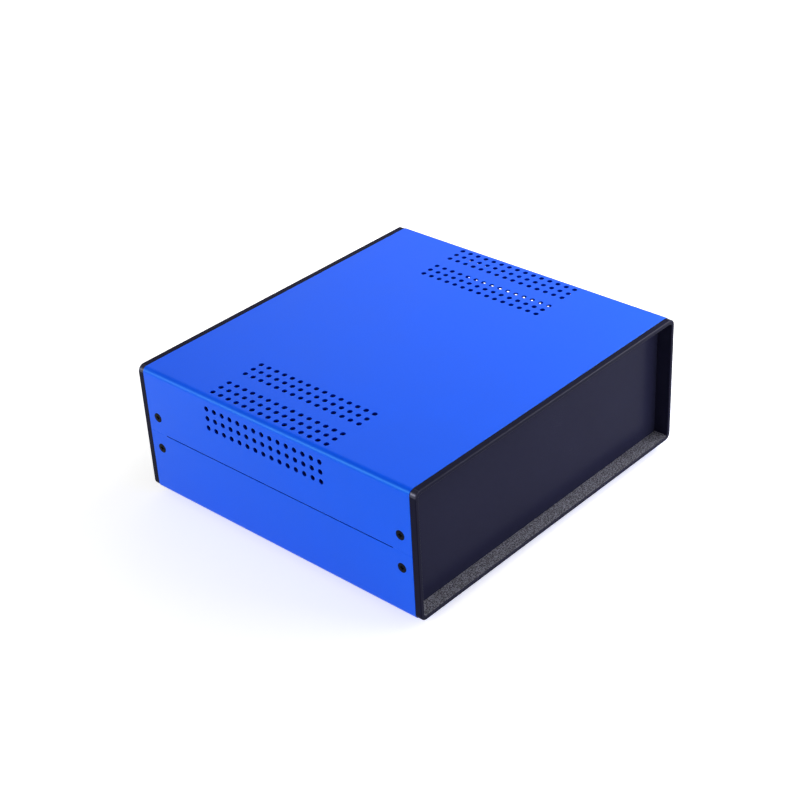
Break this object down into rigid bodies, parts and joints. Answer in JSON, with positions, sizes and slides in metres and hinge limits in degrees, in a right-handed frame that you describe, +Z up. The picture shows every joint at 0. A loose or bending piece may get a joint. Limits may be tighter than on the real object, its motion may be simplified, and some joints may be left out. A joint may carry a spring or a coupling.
{
  "type": "metal project box",
  "caption": "Low desktop project box of two folded blue metal covers, black end frames with recessed dark panels, side screws, rows of round vents and rubber feet.",
  "frame": {"origin": "centre of the footprint, on the surface that the feet stand on", "axes": "+Z up, -Y out of the front panel, +X to the right seen from the front"},
  "size_m": [0.2186, 0.203, 0.084],
  "materials": {
    "blue_coat": "satin blue powder coat on folded steel sheet",
    "frame_black": "black moulded plastic with a fine spark grain",
    "panel_dark": "smooth satin black paint on flat steel sheet",
    "screw_black": "black plated steel, low gloss",
    "zinc": "bright zinc plate",
    "foot_rubber": "matt black rubber"
  },
  "bodies": {
    "root": {"foot_left_front": "foot_rubber", "foot_left_rear": "foot_rubber", "foot_nut_left_front": "zinc", "foot_nut_left_rear": "zinc", "foot_nut_right_front": "zinc", "foot_nut_right_rear": "zinc", "foot_right_front": "foot_rubber", "foot_right_rear": "foot_rubber", "foot_screw_left_front": "zinc", "foot_screw_left_rear": "zinc", "foot_screw_right_front": "zinc", "foot_screw_right_rear": "zinc", "front_frame": "frame_black", "front_panel": "panel_dark", "lower_cover": "blue_coat", "panel_nut_left_front_lower": "zinc", "panel_nut_left_front_upper": "zinc", "panel_nut_left_rear_lower": "zinc", "panel_nut_left_rear_upper": "zinc", "panel_nut_right_front_lower": "zinc", "panel_nut_right_front_upper": "zinc", "panel_nut_right_rear_lower": "zinc", "panel_nut_right_rear_upper": "zinc", "rear_frame": "frame_black", "rear_panel": "panel_dark", "side_screw_left_front_lower": "screw_black", "side_screw_left_front_upper": "screw_black", "side_screw_left_rear_lower": "screw_black", "side_screw_left_rear_upper": "screw_black", "side_screw_right_front_lower": "screw_black", "side_screw_right_front_upper": "screw_black", "side_screw_right_rear_lower": "screw_black", "side_screw_right_rear_upper": "screw_black", "upper_cover": "blue_coat"}
  },
  "joints": []
}
